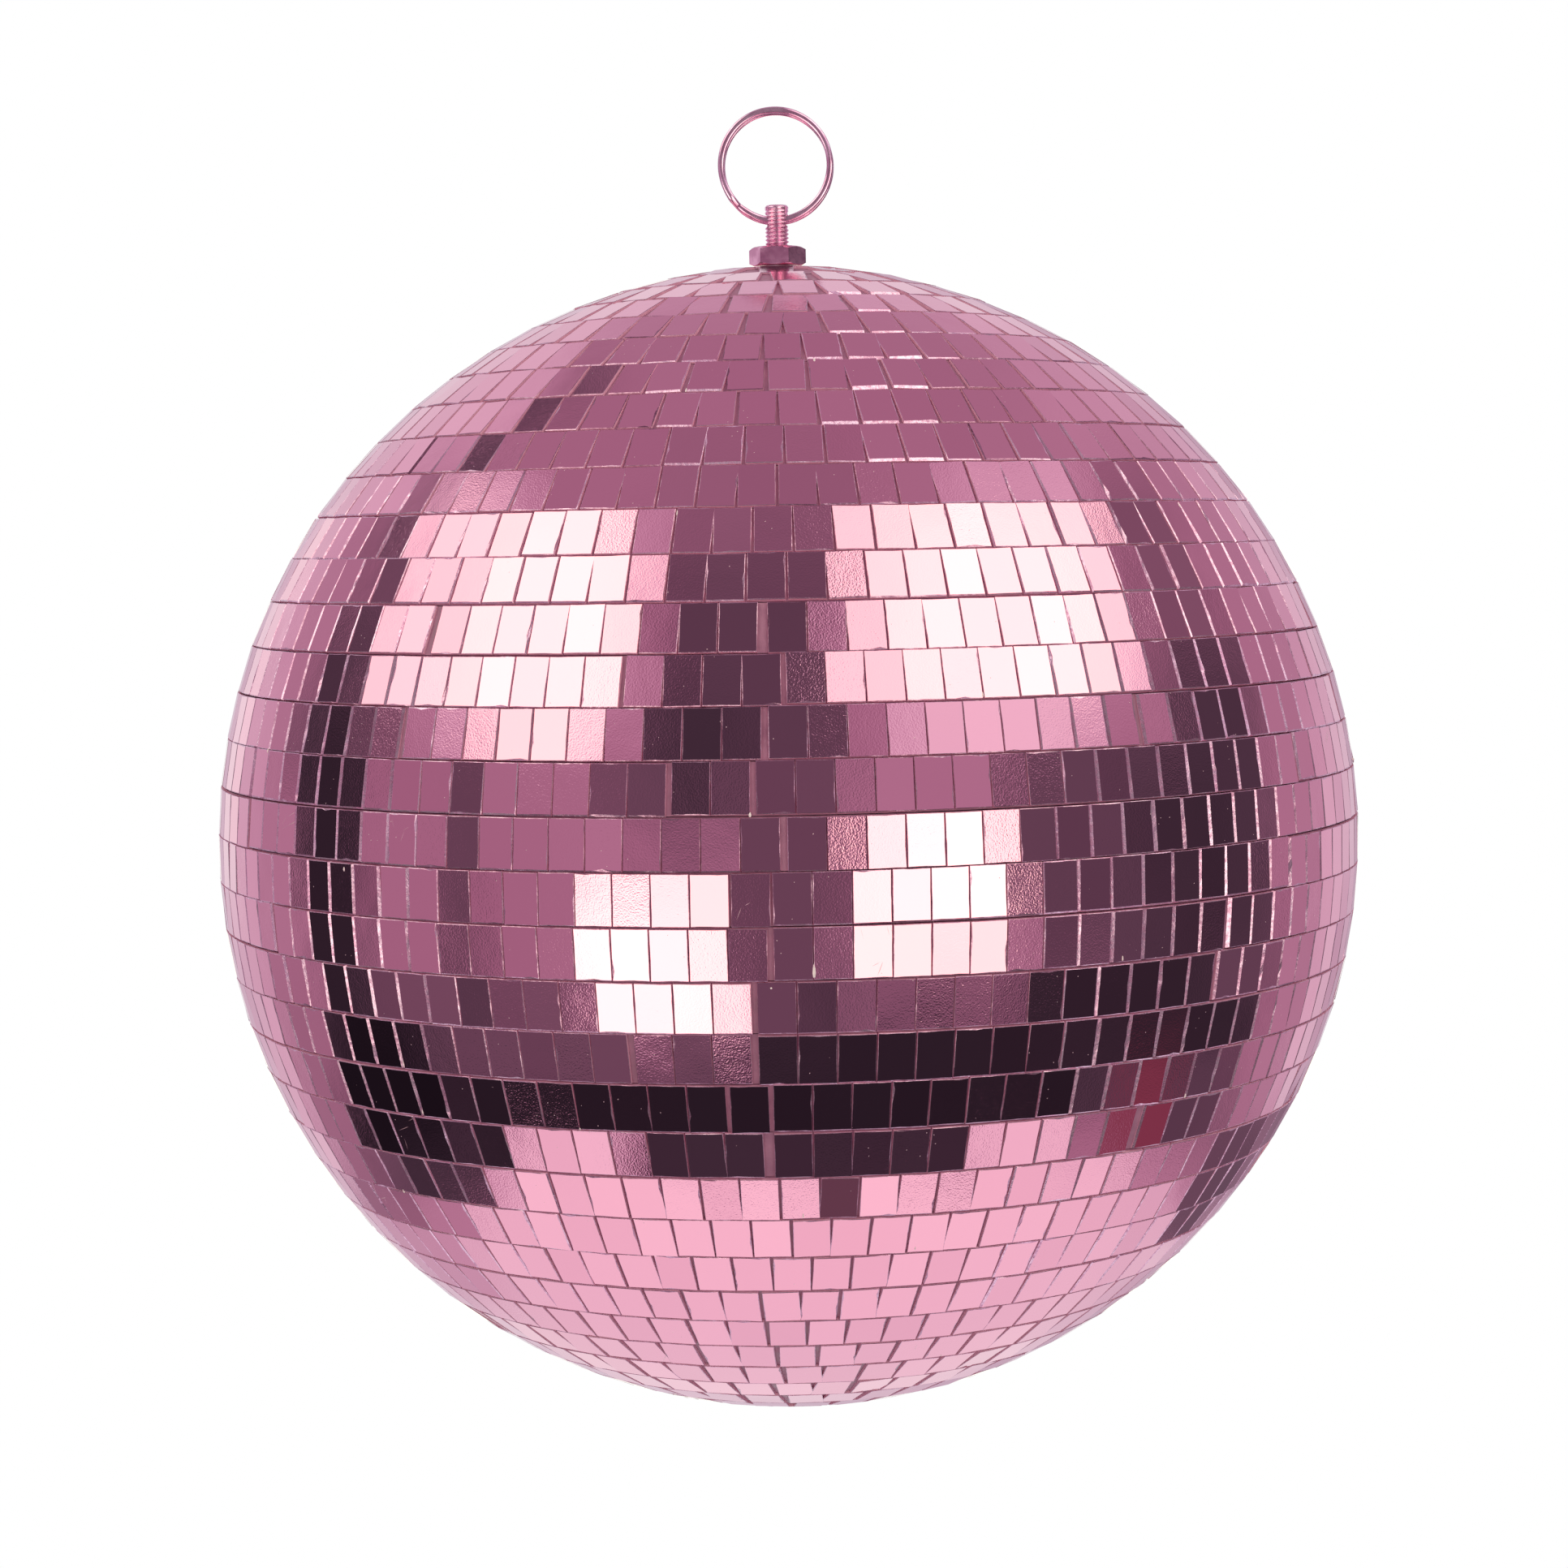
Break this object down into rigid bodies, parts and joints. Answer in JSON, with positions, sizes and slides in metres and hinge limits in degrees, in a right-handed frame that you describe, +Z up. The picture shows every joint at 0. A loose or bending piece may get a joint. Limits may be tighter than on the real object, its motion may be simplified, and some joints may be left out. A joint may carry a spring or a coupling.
{
  "type": "mirror ball",
  "caption": "Hollow ball covered with rows of small flat mirror tiles, turning on a threaded hanging stud with a lock nut and a split ring through its cross hole.",
  "frame": {"origin": "centre of the hanging stud's flat top face", "axes": "+Z up along the stud, which is the ball's own axis of turning; +X along the stud's cross hole; the split ring stands in the XZ plane and -Y faces the viewer"},
  "size_m": [0.2997, 0.2998, 0.3417],
  "materials": {
    "mirror_glass": "pink tinted mirror glass, silvered behind",
    "pink_chrome": "bright plated steel with a pink tint",
    "zinc_steel": "zinc plated steel",
    "core_plastic": "moulded plastic, dull",
    "nylon": "natural nylon"
  },
  "bodies": {
    "hanger": {"hanger_stud": "pink_chrome", "lock_nut": "pink_chrome", "crown_washer": "pink_chrome", "thrust_washer": "nylon", "inner_nut": "zinc_steel", "jam_nut": "zinc_steel"},
    "ring": {"split_ring": "pink_chrome"},
    "ball": {"core_upper": "core_plastic", "core_lower": "core_plastic", "joint_band": "core_plastic", "support_plate": "zinc_steel", "plate_screw_1": "zinc_steel", "plate_screw_2": "zinc_steel", "plate_screw_3": "zinc_steel", "crown_bush": "nylon", "mirror_row_n18": "mirror_glass", "mirror_row_n17": "mirror_glass", "mirror_row_n16": "mirror_glass", "mirror_row_n15": "mirror_glass", "mirror_row_n14": "mirror_glass", "mirror_row_n13": "mirror_glass", "mirror_row_n12": "mirror_glass", "mirror_row_n11": "mirror_glass", "mirror_row_n10": "mirror_glass", "mirror_row_n09": "mirror_glass", "mirror_row_n08": "mirror_glass", "mirror_row_n07": "mirror_glass", "mirror_row_n06": "mirror_glass", "mirror_row_n05": "mirror_glass", "mirror_row_n04": "mirror_glass", "mirror_row_n03": "mirror_glass", "mirror_row_n02": "mirror_glass", "mirror_row_n01": "mirror_glass", "mirror_row_00": "mirror_glass", "mirror_row_p01": "mirror_glass", "mirror_row_p02": "mirror_glass", "mirror_row_p03": "mirror_glass", "mirror_row_p04": "mirror_glass", "mirror_row_p05": "mirror_glass", "mirror_row_p06": "mirror_glass", "mirror_row_p07": "mirror_glass", "mirror_row_p08": "mirror_glass", "mirror_row_p09": "mirror_glass", "mirror_row_p10": "mirror_glass", "mirror_row_p11": "mirror_glass", "mirror_row_p12": "mirror_glass", "mirror_row_p13": "mirror_glass", "mirror_row_p14": "mirror_glass", "mirror_row_p15": "mirror_glass", "mirror_row_p16": "mirror_glass", "mirror_row_p17": "mirror_glass", "mirror_row_p18": "mirror_glass", "mirror_cap_bottom": "mirror_glass"}
  },
  "joints": [
    {"name": "ball_spin", "type": "hinge", "parent": "hanger", "child": "ball", "pos_m": [0, 0, -0.1665], "axis": [0, 0, 1], "continuous": true},
    {"name": "ring_swing", "type": "hinge", "parent": "hanger", "child": "ring", "pos_m": [0, 0, -0.00405], "axis": [1, 0, 0], "range_deg": [-112, 112]}
  ]
}
